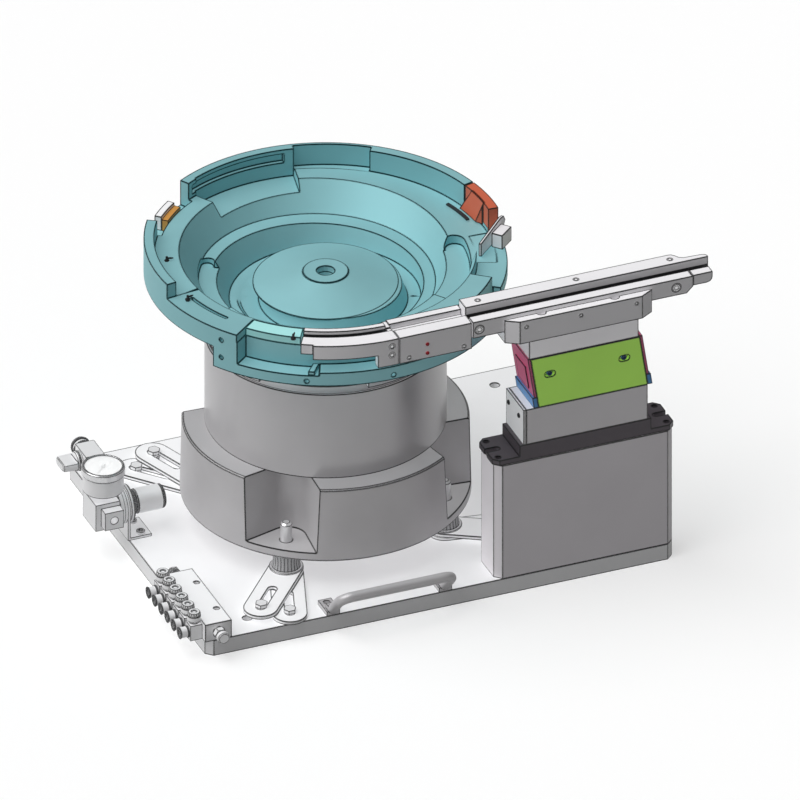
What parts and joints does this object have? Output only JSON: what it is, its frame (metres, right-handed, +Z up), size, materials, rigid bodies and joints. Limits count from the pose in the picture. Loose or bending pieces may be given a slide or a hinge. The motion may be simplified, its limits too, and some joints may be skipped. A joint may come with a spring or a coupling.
{
  "type": "vibratory bowl feeder",
  "caption": "Piezoelectric bowl feeder: stepped bowl with a spiral track on a cast drive, a straight outlet track on a linear drive, air fittings and base plate.",
  "frame": {"origin": "on the bowl's axis, at the underside of the base plate", "axes": "+X along the base plate towards the end of the linear track, +Y to the back, +Z up"},
  "size_m": [0.5892, 0.3972, 0.3365],
  "materials": {
    "teal_bowl": "satin, teal finish on machined aluminium",
    "light_teal": "satin, light teal",
    "cast_grey": "fine cast texture under grey paint",
    "drum_grey": "smooth satin grey",
    "plate_white": "milled, pale",
    "rail_metal": "ground",
    "dark_block": "satin dark",
    "grey_block": "milled",
    "stand_grey": "satin",
    "green_cover": "satin green",
    "magenta_spring": "satin magenta",
    "blue_clamp": "satin blue",
    "orange_insert": "machined plastic, orange red",
    "brown_insert": "machined plastic, orange brown",
    "rubber": "grey rubber",
    "steel": "bright",
    "spring_steel": "blued",
    "ceramic": "piezo ceramic",
    "white_body": "pale grey plastic",
    "knob_grey": "ribbed plastic",
    "dial_white": "plain dial",
    "dark_needle": "black"
  },
  "bodies": {
    "base": {"base_plate": "plate_white", "rubber_feet": "rubber", "foot_studs": "steel", "foot_lugs": "steel", "lug_bolts": "steel", "drive_base": "cast_grey", "drive_skirt": "drum_grey", "counterweight": "cast_grey", "lower_spring_clamps": "steel", "upper_spring_clamps": "steel", "leaf_springs": "spring_steel", "piezo_elements": "ceramic", "stand_box": "stand_grey", "linear_flange": "dark_block", "linear_base_block": "grey_block", "linear_end_plate": "plate_white", "linear_side_plates": "green_cover", "linear_springs": "magenta_spring", "linear_piezos": "ceramic", "linear_spring_clamps": "blue_clamp", "manifold_block": "plate_white", "flow_control_bodies": "white_body", "manifold_fittings": "steel", "regulator_bracket": "steel", "regulator_body": "white_body", "regulator_nut": "knob_grey", "gauge_case": "steel", "gauge_bezel": "steel", "gauge_dial": "dial_white", "shutoff_valve_body": "white_body", "carry_handle": "steel"},
    "bowl": {"drive_top_plate": "plate_white", "bowl": "teal_bowl", "centre_bolt": "steel", "bowl_clamps": "steel", "track_insert": "orange_insert", "gate_insert": "brown_insert", "gate_block": "plate_white", "deflector_plate": "rail_metal", "deflector_bracket": "grey_block", "curved_rail": "rail_metal", "outlet_plate": "light_teal", "ledge_rib": "teal_bowl", "outlet_front_rail": "rail_metal", "outlet_back_rail": "rail_metal"},
    "track": {"track_front_rail": "rail_metal", "track_back_rail": "rail_metal", "track_floor": "dark_block", "support_bar": "grey_block", "linear_top_block": "grey_block"},
    "needle": {"gauge_needle": "dark_needle"},
    "regulator_stem": {"regulator_spindle": "steel"},
    "regulator_cap": {"regulator_knob": "knob_grey"},
    "shutoff_cap": {"shutoff_valve_knob": "knob_grey"},
    "flow_cap_1": {"flow_knob_1": "knob_grey"},
    "flow_cap_2": {"flow_knob_2": "knob_grey"},
    "flow_cap_3": {"flow_knob_3": "knob_grey"},
    "flow_cap_4": {"flow_knob_4": "knob_grey"},
    "flow_cap_5": {"flow_knob_5": "knob_grey"},
    "flow_cap_6": {"flow_knob_6": "knob_grey"}
  },
  "joints": [
    {"name": "bowl_twist", "type": "hinge", "parent": "base", "child": "bowl", "pos_m": [0, 0, 0.2], "axis": [0, 0, 1], "range_deg": [-0.12, 0.12], "stiffness_Nm_per_rad": 2000},
    {"name": "track_shake", "type": "slide", "parent": "base", "child": "track", "axis": [0.989, 0, 0.1478], "range_m": [-0.0003, 0.0003], "stiffness_N_per_m": 20000},
    {"name": "gauge_needle_turn", "type": "hinge", "parent": "base", "child": "needle", "pos_m": [-0.2215, 0.041, 0.0972], "axis": [0, 0, 1], "range_deg": [-270, 0]},
    {"name": "regulator_turn", "type": "hinge", "parent": "base", "child": "regulator_stem", "pos_m": [-0.2015, 0.038, 0.0517], "axis": [1, 0, 0], "range_deg": [-720, 720]},
    {"name": "regulator_unlock", "type": "slide", "parent": "regulator_stem", "child": "regulator_cap", "axis": [1, 0, 0], "range_m": [0, 0.003]},
    {"name": "shutoff_turn", "type": "hinge", "parent": "base", "child": "shutoff_cap", "pos_m": [-0.2227, 0.09775, 0.073], "axis": [1, 0, 0], "range_deg": [0, 90]},
    {"name": "flow_turn_1", "type": "hinge", "parent": "base", "child": "flow_cap_1", "pos_m": [-0.2115, -0.1744, 0.03], "axis": [0, 0, 1], "range_deg": [-1080, 1080]},
    {"name": "flow_turn_2", "type": "hinge", "parent": "base", "child": "flow_cap_2", "pos_m": [-0.2115, -0.1579, 0.03], "axis": [0, 0, 1], "range_deg": [-1080, 1080]},
    {"name": "flow_turn_3", "type": "hinge", "parent": "base", "child": "flow_cap_3", "pos_m": [-0.2115, -0.1414, 0.03], "axis": [0, 0, 1], "range_deg": [-1080, 1080]},
    {"name": "flow_turn_4", "type": "hinge", "parent": "base", "child": "flow_cap_4", "pos_m": [-0.2115, -0.1249, 0.03], "axis": [0, 0, 1], "range_deg": [-1080, 1080]},
    {"name": "flow_turn_5", "type": "hinge", "parent": "base", "child": "flow_cap_5", "pos_m": [-0.2115, -0.1084, 0.03], "axis": [0, 0, 1], "range_deg": [-1080, 1080]},
    {"name": "flow_turn_6", "type": "hinge", "parent": "base", "child": "flow_cap_6", "pos_m": [-0.2115, -0.0919, 0.03], "axis": [0, 0, 1], "range_deg": [-1080, 1080]}
  ]
}
